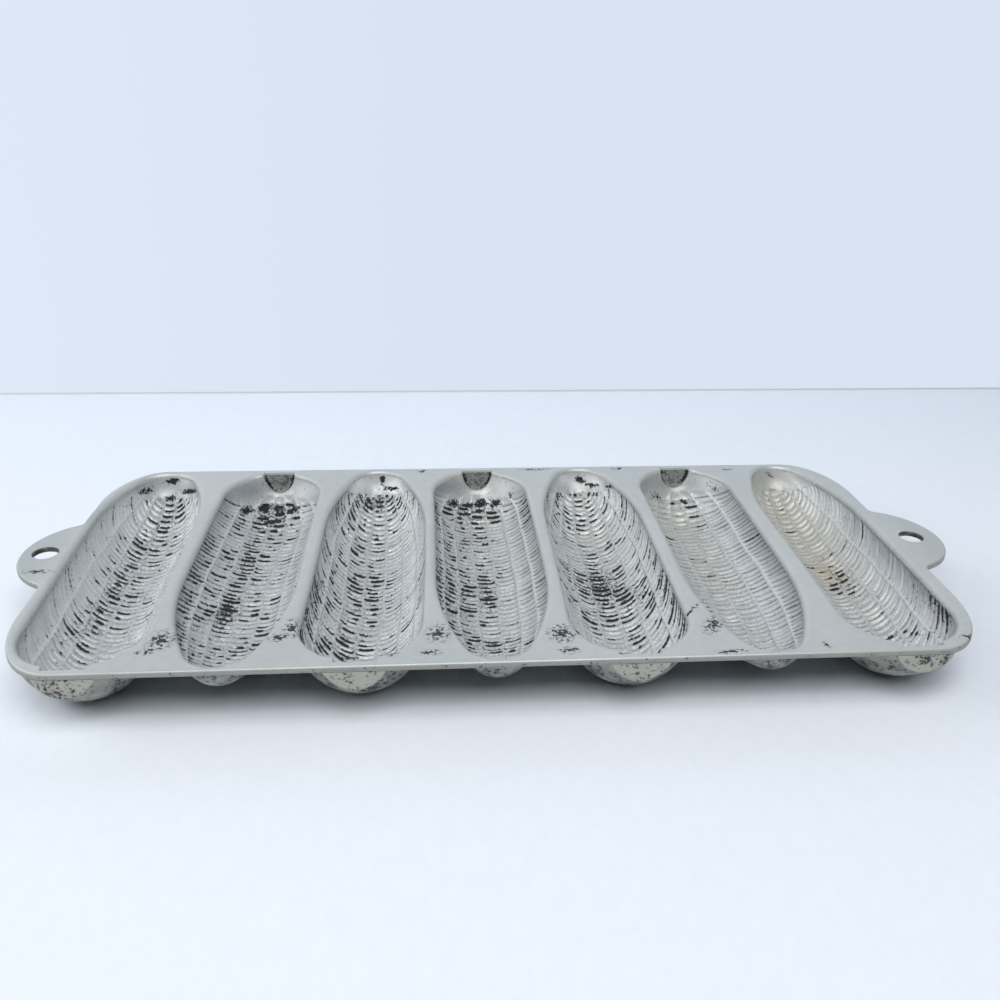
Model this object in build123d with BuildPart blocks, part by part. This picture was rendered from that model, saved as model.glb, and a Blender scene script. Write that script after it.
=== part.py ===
from build123d import *
import os
from math import asin, degrees, sqrt

# Corn stick pan, millimetres. X runs along the row of cups, Y from the front rim to the back rim and
# Z up. The origin is the middle of the overall length and width, on the surface the pan stands on.
# The real pan is one casting. Each solid below is one region of it, and neighbouring regions meet
# face to face: the deck plate, two ears, seven cob-shaped cups and the seven sockets at their stems.

# Deck plate
body_length = 300.0
body_width = 144.0
plate_thickness = 2.0
corner_run_x = 20.0
corner_run_y = 32.0
rim_strip = 2.5

# Row of cob-shaped cups, which sits a little to the left of the deck's middle
cup_count = 7
row_margin = 3.9
row_shift = -1.3
web_width = 3.5
cup_wall = 2.1
taper_length = 50.0
nose_radius = 11.0

# Rows of kernels pressed into the wall of every cob, with a narrow ridge between neighbours
kernel_rows = 7
kernel_depth = 0.5
ridge_width = 1.2
rows_from_stem = 3.5
rows_from_tip = 3.0

# Stem socket at the blunt end of every cup
stem_radius = 6.4
stem_wall = 2.1
stem_inset = 1.6

# Ears with their hang holes, the left one cast a little shorter than the right one
ear_chord = 45.0
ear_reach_left = 13.9
ear_reach_right = 16.3
ear_offset = 1.0
ear_thickness = 2.0
ear_flare = 3.0
hole_radius = 4.0
hole_from_body = 5.8

# Heights and places worked out from the sizes above. The cups share the body's length evenly.
cup_pitch = (body_length - row_margin) / cup_count
cob_radius = (cup_pitch - web_width) / 2
shell_radius = cob_radius + cup_wall
deck_top = shell_radius
deck_underside = deck_top - plate_thickness
body_x = (ear_reach_left - ear_reach_right) / 2
cob_half_length = body_width / 2 - rim_strip
dome_centre = -cob_half_length + stem_inset + cob_radius
stem_plane_y = dome_centre - sqrt(cob_radius ** 2 - stem_radius ** 2)

# The flank's arc leaves the straight side without a kink and runs into the nose's arc likewise
quarter_turn = 90.0
taper_start = cob_half_length - taper_length
nose_run = taper_length - nose_radius
flank_radius = (nose_run ** 2 + cob_radius ** 2 - nose_radius ** 2) / (2 * (cob_radius - nose_radius))
flank_angle = degrees(asin(nose_run / (flank_radius - nose_radius)))

# The rows share the half turn evenly, and half a row stays smooth under each rim
row_turn = 2 * quarter_turn / (kernel_rows + 1)
ridge_turn = degrees(ridge_width / cob_radius)
row_start = stem_plane_y + rows_from_stem
row_end = cob_half_length - rows_from_tip


def cup_x(index):
    """Middle of one cup along the row."""
    return body_x + row_shift + (index - (cup_count - 1) / 2) * cup_pitch


def cob_plane(index):
    """Upright plane through one cob, whose X points up and whose Y runs from the stem to the tip."""
    away = 1 if index % 2 == 0 else -1
    return Plane(origin=(cup_x(index), 0, deck_top), x_dir=(0, 0, 1), z_dir=(-away, 0, 0))


def cob_axis(index):
    """Long axis of one cob, in the deck's top face."""
    return Axis(cob_plane(index).origin, cob_plane(index).y_dir)


def half_outline(skin):
    """Half outline of a cob grown by a skin: round blunt end, straight side, long flank and nose."""
    with BuildLine() as outline:
        CenterArc((0, dome_centre), cob_radius + skin, -quarter_turn, quarter_turn)
        Line((cob_radius + skin, dome_centre), (cob_radius + skin, taper_start))
        CenterArc((cob_radius - flank_radius, taper_start), flank_radius + skin, 0, flank_angle)
        CenterArc(
            (0, cob_half_length - nose_radius), nose_radius + skin, flank_angle,
            quarter_turn - flank_angle,
        )
        Line((0, cob_half_length + skin), (0, dome_centre - cob_radius - skin))
    return outline.line


def hollow_profile(index):
    """Half outline of one cup's hollow, with the short round stem at its blunt end."""
    with BuildSketch(cob_plane(index)) as profile:
        with BuildLine():
            add(half_outline(0))
        make_face()
        with Locations((0, -cob_half_length)):
            Rectangle(stem_radius, cob_half_length + dome_centre, align=(Align.MIN, Align.MIN))
    return profile.sketch


def row_profile(index):
    """Half outline that the kernel rows reach, on each plane through the cob where a row starts."""
    first = quarter_turn + (row_turn + ridge_turn) / 2
    starts = [cob_plane(index).rotated((0, first + row * row_turn, 0)) for row in range(kernel_rows)]
    with BuildSketch(*starts) as profile:
        with BuildLine():
            add(half_outline(kernel_depth))
        make_face()
        with Locations((0, row_start)):
            Rectangle(
                shell_radius, row_end - row_start, align=(Align.MIN, Align.MIN), mode=Mode.INTERSECT
            )
    return profile.sketch


def shell_profile(index):
    """Half outline of one cup's outside, one wall out from the hollow."""
    with BuildSketch(cob_plane(index)) as profile:
        with BuildLine():
            add(half_outline(cup_wall))
        make_face()
    return profile.sketch


def body_outline(height):
    """Plan of the body at a height: a rectangle whose corners are quarter ellipses."""
    with BuildSketch(Plane((body_x, 0, height))) as outline:
        Rectangle(body_length, body_width - 2 * corner_run_y)
        Rectangle(body_length - 2 * corner_run_x, body_width)
        with GridLocations(body_length - 2 * corner_run_x, body_width - 2 * corner_run_y, 2, 2):
            Ellipse(corner_run_x, corner_run_y)
    return outline.sketch


def cup_strip(index):
    """Part of the plan under the deck that is one cup's: it ends half way to each neighbour."""
    first, last = index == 0, index == cup_count - 1
    left_end = body_x - body_length / 2 if first else cup_x(index) - cup_pitch / 2
    right_end = body_x + body_length / 2 if last else cup_x(index) + cup_pitch / 2
    with BuildSketch(Plane.XY.offset(deck_underside)) as strip:
        add(body_outline(0))
        with Locations(((left_end + right_end) / 2, 0)):
            Rectangle(right_end - left_end, body_width, mode=Mode.INTERSECT)
    return strip.sketch


def ear_plane(direction):
    """Plane under one ear at the body's side, whose X points outwards."""
    return Plane(
        origin=(body_x + direction * body_length / 2, ear_offset, deck_top - ear_thickness),
        x_dir=(direction, 0, 0),
        z_dir=(0, 0, 1),
    )


def ear_outline(direction, reach):
    """Plan of an ear: a shallow arc whose two roots flare into the body's side."""
    arc_radius = (reach ** 2 + (ear_chord / 2) ** 2) / (2 * reach)
    with BuildSketch(ear_plane(direction)) as outline:
        with Locations((reach - arc_radius, 0)):
            Circle(arc_radius)
        with Locations((-arc_radius, 0)):
            Rectangle(2 * arc_radius, 2 * ear_chord)
        roots = outline.edges().filter_by(GeomType.CIRCLE).vertices()
        fillet(roots, ear_flare)
        with Locations((-arc_radius, 0)):
            Rectangle(2 * arc_radius, 2 * ear_chord, mode=Mode.SUBTRACT)
    return outline.sketch


os.makedirs("parts", exist_ok=True)

# Deck plate with the seven openings
with BuildPart() as deck_plate:
    extrude(body_outline(deck_underside), amount=plate_thickness)
    for cup in range(cup_count):
        revolve(hollow_profile(cup), axis=cob_axis(cup), mode=Mode.SUBTRACT)
deck_plate.part.label = "deck_plate"
export_step(deck_plate.part, "parts/deck_plate.step")

# Cups under the deck, and the socket that closes each one at its stem
for cup in range(cup_count):
    stem_cut = Plane(
        cob_plane(cup).from_local_coords((0, stem_plane_y, 0)), z_dir=cob_plane(cup).y_dir
    )
    with BuildPart() as stick_cup:
        revolve(shell_profile(cup), axis=cob_axis(cup))
        split(bisect_by=stem_cut, keep=Keep.TOP)
        extrude(cup_strip(cup), amount=-deck_underside, mode=Mode.INTERSECT)
        revolve(hollow_profile(cup), axis=cob_axis(cup), mode=Mode.SUBTRACT)
        revolve(
            row_profile(cup), axis=cob_axis(cup), revolution_arc=row_turn - ridge_turn,
            mode=Mode.SUBTRACT,
        )
    stick_cup.part.label = f"stick_cup_{cup + 1}"
    export_step(stick_cup.part, f"parts/stick_cup_{cup + 1}.step")

    with BuildPart() as stem_socket:
        revolve(shell_profile(cup), axis=cob_axis(cup))
        split(bisect_by=stem_cut, keep=Keep.BOTTOM)
        with BuildSketch(stem_cut):
            Circle(stem_radius + stem_wall)
        extrude(amount=-(stem_plane_y + body_width / 2))
        extrude(cup_strip(cup), amount=-deck_underside, mode=Mode.INTERSECT)
        revolve(hollow_profile(cup), axis=cob_axis(cup), mode=Mode.SUBTRACT)
    stem_socket.part.label = f"stem_socket_{cup + 1}"
    export_step(stem_socket.part, f"parts/stem_socket_{cup + 1}.step")

# Ears, each with its hang hole
ears = {"left": (-1, ear_reach_left), "right": (1, ear_reach_right)}
for side, (direction, reach) in ears.items():
    with BuildPart() as ear:
        extrude(ear_outline(direction, reach), amount=ear_thickness)
        with BuildSketch(ear_plane(direction)):
            with Locations((hole_from_body, 0)):
                Circle(hole_radius)
        extrude(amount=ear_thickness, mode=Mode.SUBTRACT)
    ear.part.label = f"{side}_ear"
    export_step(ear.part, f"parts/{side}_ear.step")
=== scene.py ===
import logging
import math
from dataclasses import dataclass, field, replace
from enum import Enum
from typing import Sequence

import bmesh
import bpy
import numpy as np
from mathutils import Matrix, Vector


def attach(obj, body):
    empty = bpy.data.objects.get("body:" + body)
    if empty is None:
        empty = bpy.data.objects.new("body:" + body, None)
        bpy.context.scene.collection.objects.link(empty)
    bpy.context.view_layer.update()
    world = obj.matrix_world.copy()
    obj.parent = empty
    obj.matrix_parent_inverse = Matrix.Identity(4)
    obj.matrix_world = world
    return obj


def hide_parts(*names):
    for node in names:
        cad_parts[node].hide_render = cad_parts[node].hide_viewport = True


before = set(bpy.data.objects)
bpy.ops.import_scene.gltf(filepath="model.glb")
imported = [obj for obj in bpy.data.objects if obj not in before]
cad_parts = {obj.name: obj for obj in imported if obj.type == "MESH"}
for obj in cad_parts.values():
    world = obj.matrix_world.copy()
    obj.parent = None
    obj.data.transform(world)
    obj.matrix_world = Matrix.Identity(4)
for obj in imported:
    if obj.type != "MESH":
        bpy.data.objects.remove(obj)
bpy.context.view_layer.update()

log = logging.getLogger("corn_stick_pan")

MM = 0.001
TINY = 1e-6
WELD = 1e-5
RIGHT_ANGLE = math.pi / 2
Point2 = tuple[float, float]
Point3 = tuple[float, float, float]
Colour = tuple[float, float, float]
Corners = list[bmesh.types.BMVert]


class StemEnd(Enum):
    """Which rim of the pan a cob's stem points at, and so which way the cob is laid along Y."""

    FRONT = 1
    BACK = -1


def ease(value: float | np.ndarray, low: float, high: float) -> float | np.ndarray:
    """Smooth step between two levels.

    Args:
        value: the number or numbers.
        low: level at which the result leaves nought.
        high: level at which the result reaches one.

    Returns:
        The result, between nought and one.
    """
    t = np.clip((value - low) / (high - low), 0.0, 1.0)
    return t * t * (3.0 - 2.0 * t)


@dataclass(frozen=True)
class Casting:
    """Sizes of the pan in millimetres, the same as the solids have."""

    body_length: float = 300.0
    body_width: float = 144.0
    plate: float = 2.0
    corner_run_x: float = 20.0
    corner_run_y: float = 32.0
    body_x: float = -1.2
    cup_count: int = 7
    cup_pitch: float = 42.3
    row_shift: float = -1.3
    deck_top: float = 21.5
    ear_chord: float = 45.0
    ear_reach_left: float = 13.9
    ear_reach_right: float = 16.3
    ear_offset: float = 1.0
    ear_flare: float = 3.0
    hole_radius: float = 4.0
    hole_from_body: float = 5.8

    @property
    def underside(self) -> float:
        """Height of the deck's lower face."""
        return self.deck_top - self.plate

    @property
    def left(self) -> float:
        """Left side of the body."""
        return self.body_x - self.body_length / 2

    @property
    def right(self) -> float:
        """Right side of the body."""
        return self.body_x + self.body_length / 2

    def within(self, x: float, y: float) -> Point2:
        """Pulls a place that is outside the body's rounded plan back to its edge.

        Args:
            x: the place along X.
            y: the place along Y.

        Returns:
            The place, moved if need be.
        """
        x = min(max(x, self.left), self.right)
        past_x = abs(x - self.body_x) - (self.body_length / 2 - self.corner_run_x)
        past_y = abs(y) - (self.body_width / 2 - self.corner_run_y)
        if past_x <= 0 or past_y <= 0:
            return x, y
        reach = max(math.hypot(past_x / self.corner_run_x, past_y / self.corner_run_y), 1.0)
        half_x = self.body_length / 2 - self.corner_run_x + past_x / reach
        half_y = self.body_width / 2 - self.corner_run_y + past_y / reach
        return self.body_x + math.copysign(half_x, x - self.body_x), math.copysign(half_y, y)


@dataclass(frozen=True)
class Drift:
    """How far a cob lies beside its nominal middle at the front, middle and back, in millimetres."""

    front: float = 0.0
    middle: float = 0.0
    back: float = 0.0
    reach: float = 70.0

    def at(self, y: float | np.ndarray) -> float | np.ndarray:
        """Sideways shift at a place along the pan's width.

        Args:
            y: the place, in millimetres.

        Returns:
            The shift along X.
        """
        t = y / self.reach
        slope = (self.back - self.front) / 2
        bend = (self.back + self.front) / 2 - self.middle
        return self.middle + slope * t + bend * t * t


@dataclass(frozen=True)
class CobShape:
    """Half outline of a cob's hollow: stem, round blunt end, straight side, long flank and nose."""

    radius: float = 19.4
    half_length: float = 69.5
    stem_inset: float = 1.6
    taper: float = 50.0
    nose: float = 11.0
    stem_radius: float = 6.4
    stem_lip: float = 1.3
    stem_drop: float = 1.3
    wall: float = 2.1
    stem_wall: float = 2.1
    stem_fillet: float = 0.4

    @property
    def dome_y(self) -> float:
        """Middle of the round blunt end along the cob."""
        return -self.half_length + self.stem_inset + self.radius

    @property
    def stem_y(self) -> float:
        """Where the stem opens into the round end."""
        return self.dome_y - math.sqrt(self.radius ** 2 - self.stem_radius ** 2)

    @property
    def taper_y(self) -> float:
        """Where the straight side ends."""
        return self.half_length - self.taper

    @property
    def nose_y(self) -> float:
        """Middle of the nose's arc along the cob."""
        return self.half_length - self.nose

    @property
    def flank_radius(self) -> float:
        """Radius of the flank's long arc."""
        run = self.taper - self.nose
        return (run ** 2 + self.radius ** 2 - self.nose ** 2) / (2 * (self.radius - self.nose))

    @property
    def flank_turn(self) -> float:
        """Angle of the flank's long arc, in radians."""
        return math.asin((self.taper - self.nose) / (self.flank_radius - self.nose))

    def sunk(self, y: float | np.ndarray) -> float | np.ndarray:
        """How much deeper than round the hollow is, which is more than one only in the stem.

        Args:
            y: place along the cob.

        Returns:
            The factor on the depth.
        """
        return 1.0 + (self.stem_drop - 1.0) * (1.0 - ease(y, self.stem_y - 0.8, self.stem_y + 1.6))

    def stem_side(self, skin: float, stem: float, end_y: float) -> list[Point2]:
        """Profile of the stem, from the middle of its end wall to just past its lip.

        Args:
            skin: how far outside the hollow the profile lies.
            stem: radius of the stem on that profile.
            end_y: where the end wall is along the cob.

        Returns:
            Points as radius and place along the cob.
        """
        ball = self.radius + skin
        corner_y = self.dome_y - math.sqrt(ball ** 2 - stem ** 2)
        after = math.asin(stem / ball) + self.stem_lip / ball
        on_ball = (ball * math.sin(after), self.dome_y - ball * math.cos(after))
        bend = ((stem, corner_y - self.stem_lip), (stem, corner_y), on_ball)
        fillet = self.stem_fillet
        points = [(stem * share, end_y) for share in (0.0, 0.25, 0.45, 0.6, 0.72, 0.82)]
        points += [(stem - fillet, end_y), (stem - fillet * 0.3, end_y + fillet * 0.3)]
        points.append((stem, end_y + fillet))
        for t in np.linspace(0.0, 1.0, 9):
            weights = ((1 - t) ** 2, 2 * t * (1 - t), t ** 2)
            points.append(tuple(sum(w * corner[axis] for w, corner in zip(weights, bend)) for axis in (0, 1)))
        return points

    def cob_side(self, skin: float, step: float) -> list[Point2]:
        """Profile of the cob, from just past the stem's lip to the tip.

        Args:
            skin: how far outside the hollow the profile lies.
            step: distance between points along the profile.

        Returns:
            Points as radius and place along the cob.
        """
        ball, flank, nose = self.radius + skin, self.flank_radius + skin, self.nose + skin
        stem = self.stem_radius + (self.stem_wall if skin else 0.0)
        start = math.asin(stem / ball) + self.stem_lip / ball
        flank_x = self.radius - self.flank_radius

        def spread(first: float, last: float, scale: float, least: int) -> np.ndarray:
            """Even places from one to another, no further apart than the step after scaling."""
            return np.linspace(first, last, max(int((last - first) * scale / step), least) + 1)

        points = []
        for turn in spread(start, RIGHT_ANGLE, ball, 8)[1:-1]:
            points.append((ball * math.sin(turn), self.dome_y - ball * math.cos(turn)))
        for y in spread(self.dome_y, self.taper_y, 1.0, 4)[:-1]:
            points.append((ball, float(y)))
        for turn in spread(0.0, self.flank_turn, flank, 6)[:-1]:
            points.append((flank_x + flank * math.cos(turn), self.taper_y + flank * math.sin(turn)))
        for turn in spread(self.flank_turn, RIGHT_ANGLE, nose, 8):
            points.append((max(nose * math.cos(turn), 0.0), self.nose_y + nose * math.sin(turn)))
        return points

    def mouth(self, depth: float, step: float = 1.0, turns: int = 18) -> list[Point2]:
        """Right half of the hollow's edge at a depth under the deck's top, from stem to tip.

        Args:
            depth: distance under the deck's top face.
            step: distance between points along the flank.
            turns: number of steps round the nose.

        Returns:
            Points as half width and place along the cob.
        """
        points = []
        join = self.nose_y + self.nose * math.sin(self.flank_turn)
        body = [(r, y) for r, y in self.cob_side(0.0, step) if y < join - TINY]
        for r, y in self.stem_side(0.0, self.stem_radius, -self.half_length) + body:
            level = depth / self.sunk(y)
            points.append((r * math.sqrt(max(1.0 - (level / max(r, self.stem_radius)) ** 2, 0.0)), y))
        ball = math.sqrt(self.nose ** 2 - depth ** 2)
        start = math.asin((join - self.nose_y) / ball)
        for turn in np.linspace(start, RIGHT_ANGLE, turns + 1):
            points.append((max(ball * math.cos(turn), 0.0), self.nose_y + ball * math.sin(turn)))
        return points

    def notch(self, side: np.ndarray, drop: np.ndarray | float, y: np.ndarray) -> np.ndarray:
        """Darkening of the stem: nought outside it, one on its end wall and two at its border.

        Args:
            side: places beside the cob's middle.
            drop: their depth under the deck's top.
            y: their place along the cob.

        Returns:
            The value of the finish at each place.
        """
        reach = np.hypot(side, drop / self.stem_drop) / self.stem_radius
        inside = 1.0 - ease(y, self.stem_y - self.stem_lip, self.stem_y - 0.2)
        return inside * (1.0 + ease(reach, 0.68, 0.9))


@dataclass(frozen=True)
class Stain:
    """One soft patch in a hollow, in millimetres on the deck's plane as the viewpoint sees it."""

    x: float
    y: float
    run_x: float
    run_y: float
    strength: float


@dataclass(frozen=True)
class Chip:
    """One worn spot of the deck's plating, in millimetres and degrees, seen from above."""

    x: float
    y: float
    run_x: float
    run_y: float
    turn: float = 0.0


@dataclass(frozen=True)
class Cob:
    """One of the seven hollows: its shape, how it lies, what cooking has left in it and patches of painted
    sheen and shade.
    """

    shape: CobShape = CobShape()
    drift: Drift = Drift()
    fullness: float = 0.3
    soot: tuple[Stain, ...] = ()
    tan: tuple[Stain, ...] = ()
    blots: tuple[Stain, ...] = ()
    # patches of painted highlight where above nought and painted shade where below
    sheen_and_shade: tuple[Stain, ...] = ()
    worn: tuple[Stain, ...] = ()
    breadth: float = 0.965


@dataclass(frozen=True)
class Row:
    """The cobs laid head to tail under the deck."""

    casting: Casting
    cobs: tuple[Cob, ...]

    @staticmethod
    def way(index: int) -> int:
        """Plus one where the cob's stem is at the front rim, minus one where it is at the back."""
        return (StemEnd.FRONT if index % 2 == 0 else StemEnd.BACK).value

    def nominal(self, index: float) -> float:
        """Middle of one cob along the row if it did not drift."""
        c = self.casting
        return c.body_x + c.row_shift + (index - (c.cup_count - 1) / 2) * c.cup_pitch

    def middle(self, index: int, y: float | np.ndarray) -> float | np.ndarray:
        """Middle of one cob at a place along the pan's width."""
        return self.nominal(index) + self.cobs[index].drift.at(y)

    def divide(self, index: int, y: float) -> float:
        """Line between a cob's cup and its left neighbour's, or the body's side past the last one.

        Args:
            index: number of the cob to the right of the line.
            y: place along the pan's width.

        Returns:
            The line's place along X.
        """
        if index == 0:
            return self.casting.left
        if index == self.casting.cup_count:
            return self.casting.right
        return (self.middle(index - 1, y) + self.middle(index, y)) / 2


class Wire:
    """A value in a node tree, on which sums are written as plain Python."""

    def __init__(self, tree: bpy.types.NodeTree, socket: bpy.types.NodeSocket) -> None:
        """Keeps the tree and the socket that the value comes from.

        Args:
            tree: the node tree.
            socket: the output socket.
        """
        self.tree = tree
        self.socket = socket

    def sum(self, operation: str, *values: "Wire | float", clamp: bool = False) -> "Wire":
        """Adds one Math node.

        Args:
            operation: the Math node's operation.
            values: its inputs in order.
            clamp: whether the result is kept between nought and one.

        Returns:
            The node's result.
        """
        node = self.tree.nodes.new("ShaderNodeMath")
        node.operation = operation
        node.use_clamp = clamp
        for place, value in enumerate(values):
            if isinstance(value, Wire):
                self.tree.links.new(value.socket, node.inputs[place])
            else:
                node.inputs[place].default_value = value
        return Wire(self.tree, node.outputs[0])

    def __add__(self, other: "Wire | float") -> "Wire":
        """Sum."""
        return self.sum("ADD", self, other)

    def __sub__(self, other: "Wire | float") -> "Wire":
        """Difference."""
        return self.sum("SUBTRACT", self, other)

    def __rsub__(self, other: float) -> "Wire":
        """Difference from a number."""
        return self.sum("SUBTRACT", other, self)

    def __mul__(self, other: "Wire | float") -> "Wire":
        """Product."""
        return self.sum("MULTIPLY", self, other)

    def above(self, low: float, high: float) -> "Wire":
        """Nought below one level, one above another, and a straight run between them.

        Args:
            low: level where the result leaves nought.
            high: level where the result reaches one.

        Returns:
            The clamped result.
        """
        scale = 1.0 / (high - low)
        return self.sum("MULTIPLY_ADD", self, scale, -low * scale, clamp=True)

    def near(self, level: float, width: float) -> "Wire":
        """One at a level and nought further from it than a width, which draws thin curling lines."""
        return 1.0 - self.sum("ABSOLUTE", self - level).above(width * 0.5, width)

    def most(self, other: "Wire | float") -> "Wire":
        """Larger of two values."""
        return self.sum("MAXIMUM", self, other)

    def clipped(self) -> "Wire":
        """The value kept between nought and one."""
        return self.sum("ADD", self, 0.0, clamp=True)


class Finish:
    """A material under construction and the one method that adds any node to it."""

    def __init__(self, name: str) -> None:
        """Starts a material with an empty tree.

        Args:
            name: the material's name.
        """
        self.material = bpy.data.materials.new(name)
        self.material.use_nodes = True
        self.tree = self.material.node_tree
        self.tree.nodes.clear()

    def node(
        self, kind: str, settings: dict[str, object] | None = None,
        inputs: dict[str | int, object] | None = None, output: int | str = 0,
    ) -> Wire | None:
        """Adds a node.

        Args:
            kind: the node's type without its common prefix.
            settings: properties set before the inputs.
            inputs: numbers, colours, vectors or wires by socket name or number.
            output: the socket whose value is returned.

        Returns:
            The chosen output, or nothing for a node without one.
        """
        node = self.tree.nodes.new("ShaderNode" + kind)
        for name, value in (settings or {}).items():
            setattr(node, name, value)
        for name, value in (inputs or {}).items():
            if isinstance(value, Wire):
                self.tree.links.new(value.socket, node.inputs[name])
            else:
                node.inputs[name].default_value = value
        return Wire(self.tree, node.outputs[output]) if len(node.outputs) else None

    def place(self) -> Wire:
        """The point on the object in metres."""
        return self.node("TexCoord", output="Object")

    def noise(
        self, scale: float, detail: float, roughness: float, stretch: Point3 = (1, 1, 1)
    ) -> Wire:
        """Noise on the object's own coordinates.

        Args:
            scale: spots for each millimetre.
            detail: number of finer layers.
            roughness: strength of the finer layers.
            stretch: scale along each axis.

        Returns:
            A value around one half.
        """
        size = tuple(scale / MM * along for along in stretch)
        point = self.node("Mapping", {"vector_type": "POINT"}, {"Vector": self.place(), "Scale": size})
        inputs = {"Vector": point, "Scale": 1.0, "Detail": detail, "Roughness": roughness}
        return self.node("TexNoise", None, inputs)

    def blend(self, amount: Wire | float, base: Wire | Colour, other: Wire | Colour) -> Wire:
        """Blends two colours.

        Args:
            amount: share of the second colour.
            base: first colour.
            other: second colour.

        Returns:
            The blended colour.
        """
        base, other = (c if isinstance(c, Wire) else (*c, 1.0) for c in (base, other))
        settings = {"data_type": "RGBA", "blend_type": "MIX", "clamp_factor": True}
        return self.node("Mix", settings, {0: amount, 6: base, 7: other}, output=2)

    def attribute(self, name: str) -> Wire:
        """A value that the mesh carries.

        Args:
            name: the attribute's name.

        Returns:
            Its value.
        """
        return self.node("Attribute", {"attribute_name": name, "attribute_type": "GEOMETRY"}, output="Fac")

    def bump(self, height: Wire, distance: float, strength: float = 0.5) -> Wire:
        """Fine relief.

        Args:
            height: the relief.
            distance: its depth in millimetres.
            strength: how much of it shows.

        Returns:
            The bent normal.
        """
        return self.node("Bump", None, {"Strength": strength, "Distance": distance * MM, "Height": height})

    def close(self, **sockets: "Wire | float | tuple") -> bpy.types.Material:
        """Adds the surface shader and the output.

        Args:
            sockets: the shader's inputs, with an underscore for each space.

        Returns:
            The finished material.
        """
        inputs = {name.replace("_", " "): value for name, value in sockets.items()}
        shader = self.node("BsdfPrincipled", None, inputs)
        self.node("OutputMaterial", None, {"Surface": shader})
        return self.material


@dataclass(frozen=True)
class DeckPlating:
    """Pale, slightly mottled nickel on the deck, creamy and darkened with painted shade on the rim's outer
    face, and chipped in a few spots.
    """

    plate: Colour = (0.52, 0.55, 0.545)
    dull: Colour = (0.42, 0.45, 0.455)
    pale: Colour = (0.58, 0.60, 0.585)
    # creamy tint darkened with painted shade, for the rim's outer face
    cream_and_shade: Colour = (0.28, 0.28, 0.25)
    iron: Colour = (0.035, 0.037, 0.045)
    # near-black tone of the ears' hole walls
    scale: Colour = (0.075, 0.08, 0.075)
    deck_top: float = 21.5
    chips: tuple[Chip, ...] = (
        Chip(-104, -56, 5.5, 7.0), Chip(-107, -62, 4.0, 2.5, 25), Chip(-66.5, -51, 3.5, 7.0),
        Chip(-70, -56, 4, 3),
        Chip(-22.5, -56, 5.0, 6.5), Chip(-25, -66, 4.5, 1.8), Chip(-36, -66, 2.5, 2.2),
        Chip(15, -58, 5.5, 6.5),
        Chip(16, -67, 4.0, 2.5), Chip(63, -55, 3.5, 8.0, -35), Chip(58, -47, 1.0, 8.0, -40),
        Chip(64, -70, 6.0, 1.6),
        Chip(94, -68, 1.6, 2.2), Chip(-116, 74, 8.0, 1.2), Chip(-27, 68.5, 3.0, 2.2),
        Chip(21, 69, 8.0, 1.6),
        Chip(57, 68.8, 4.0, 1.4), Chip(105, 66.5, 4.0, 1.2), Chip(-155, -12.5, 6.0, 1.8),
        Chip(140, -66, 4, 2),
    )

    def _chip_mask(self, finish: Finish) -> Wire:
        """Where the plating may be worn through.

        Args:
            finish: the material that gets the nodes.

        Returns:
            One in the middle of each spot, falling to nought at its edge.
        """
        point = finish.place()
        mask = None
        for chip in self.chips:
            spot = finish.node(
                "Mapping", {"vector_type": "TEXTURE"},
                {
                    "Vector": point, "Location": (chip.x * MM, chip.y * MM, self.deck_top * MM),
                    "Rotation": (0, 0, math.radians(chip.turn)),
                    "Scale": (chip.run_x * 1.25 * MM, chip.run_y * 1.25 * MM, 4 * MM),
                },
            )
            ball = finish.node("TexGradient", {"gradient_type": "SPHERICAL"}, {"Vector": spot}, output="Fac")
            mask = ball if mask is None else mask.most(ball)
        return mask

    def material(self) -> bpy.types.Material:
        """Builds the deck's material.

        Returns:
            The material.
        """
        finish = Finish("deck_plating")
        marked = finish.attribute("rim")
        rim, dark_hole_wall = marked.clipped(), marked.above(1.2, 1.8)
        broad = finish.noise(0.03, 3.0, 0.5)
        mottle = finish.noise(0.35, 5.0, 0.6)
        grain = finish.noise(2.2, 3.0, 0.6)
        mask = self._chip_mask(finish)
        curls = finish.noise(0.6, 3.0, 0.6).near(0.5, 0.024)
        cracks = curls.most(finish.noise(0.9, 3.0, 0.6, (0.5, 1.4, 1)).near(0.47, 0.03))
        broken = finish.noise(0.7, 3.0, 0.6).above(0.47, 0.54)
        flaked = (mask * 0.40 + finish.noise(0.7, 4.0, 0.66) - 0.77).above(0.0, 0.03)
        worn = (mask.above(0.2, 0.4) * cracks * broken).most(flaked)
        nicks = (finish.noise(0.8, 4.0, 0.7) + rim * 0.075 - 0.70).above(0.0, 0.03)
        specks = (mottle * 0.5 + finish.noise(1.1, 3.0, 0.7) * 0.5).above(0.70, 0.73)
        dark = worn.most(specks * 0.6).most(nicks)
        colour = finish.blend(mottle.above(0.35, 0.75) * 0.4, self.plate, self.dull)
        colour = finish.blend(broad.above(0.4, 0.65) * 0.5, colour, self.pale)
        colour = finish.blend(grain.above(0.45, 0.8) * 0.25, colour, self.dull)
        reach = finish.node("SeparateXYZ", None, {0: finish.place()}, output="X")
        colour = finish.blend(reach.sum("ABSOLUTE", reach).above(0.149, 0.158) * 0.6, colour, self.dull)
        # the rim's outer face: a creamy tint darkened with painted shade
        colour = finish.blend(rim * 0.8, colour, self.cream_and_shade)
        # the ears' hole walls are darkened nearly to black
        colour = finish.blend(dark_hole_wall * (1.0 - mottle.above(0.5, 0.7) * 0.6), colour, self.scale)
        colour = finish.blend(dark, colour, self.iron)
        relief = grain * 0.25 + mottle * 0.8 - dark * 0.8
        return finish.close(
            Base_Color=colour,
            Metallic=0.3 - dark * 0.25,
            Roughness=(mottle * 0.16 + 0.36 + dark * 0.3).clipped(),
            Normal=finish.bump(relief, 0.2, 0.35),
        )


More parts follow.
